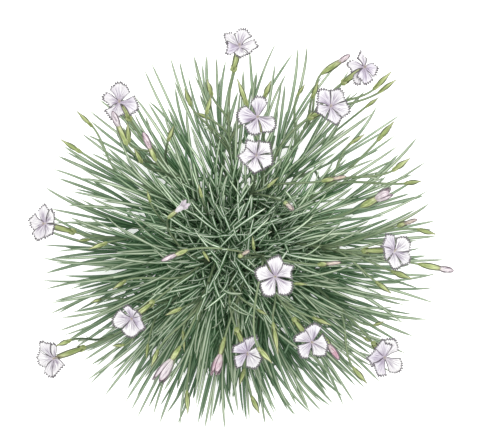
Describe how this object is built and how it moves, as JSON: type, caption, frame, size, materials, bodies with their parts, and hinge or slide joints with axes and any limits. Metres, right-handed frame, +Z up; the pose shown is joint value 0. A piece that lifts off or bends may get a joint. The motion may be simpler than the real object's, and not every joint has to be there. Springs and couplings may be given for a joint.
{
  "type": "dianthus plant",
  "caption": "Cushion of narrow grey-green leaves on a woody crown, with thin forked stems of green buds and fringed white five-petalled flowers with lilac streaks.",
  "frame": {"origin": "centre of the flat underside of the woody crown, on the surface the plant stands on", "axes": "+Z up along the plant; +X and +Y across it, with +Y away from a viewer who looks at its front"},
  "size_m": [0.2697, 0.2496, 0.1444],
  "materials": {
    "crown": "rough bark, matt",
    "leaf": "waxy grey-green, satin",
    "stem": "smooth green, satin",
    "calyx": "finely ribbed yellow-green, satin",
    "petal": "soft white with lilac streaks, matt"
  },
  "bodies": {
    "root": {"bud_stem_01": "stem", "bud_stem_02": "stem", "bud_stem_03": "stem", "bud_stem_04": "stem", "bud_stem_05": "stem", "calyx_01": "calyx", "calyx_02": "calyx", "calyx_03": "calyx", "calyx_04": "calyx", "calyx_05": "calyx", "calyx_06": "calyx", "calyx_07": "calyx", "calyx_08": "calyx", "calyx_09": "calyx", "calyx_10": "calyx", "calyx_11": "calyx", "calyx_12": "calyx", "calyx_13": "calyx", "calyx_14": "calyx", "flower_stem_01": "stem", "flower_stem_02": "stem", "flower_stem_03": "stem", "flower_stem_04": "stem", "flower_stem_05": "stem", "flower_stem_06": "stem", "flower_stem_07": "stem", "flower_stem_08": "stem", "flower_stem_09": "stem", "flower_stem_10": "stem", "flower_stem_11": "stem", "flower_stem_12": "stem", "flower_stem_13": "stem", "flower_stem_14": "stem", "leaf_tuft_01": "leaf", "leaf_tuft_02": "leaf", "leaf_tuft_03": "leaf", "leaf_tuft_04": "leaf", "leaf_tuft_05": "leaf", "leaf_tuft_06": "leaf", "leaf_tuft_07": "leaf", "leaf_tuft_08": "leaf", "leaf_tuft_09": "leaf", "leaf_tuft_10": "leaf", "leaf_tuft_11": "leaf", "leaf_tuft_12": "leaf", "petals_01": "petal", "petals_02": "petal", "petals_03": "petal", "petals_04": "petal", "petals_05": "petal", "petals_06": "petal", "petals_07": "petal", "petals_08": "petal", "petals_09": "petal", "petals_10": "petal", "petals_11": "petal", "petals_12": "petal", "petals_13": "petal", "petals_14": "petal", "woody_crown": "crown"}
  },
  "joints": []
}
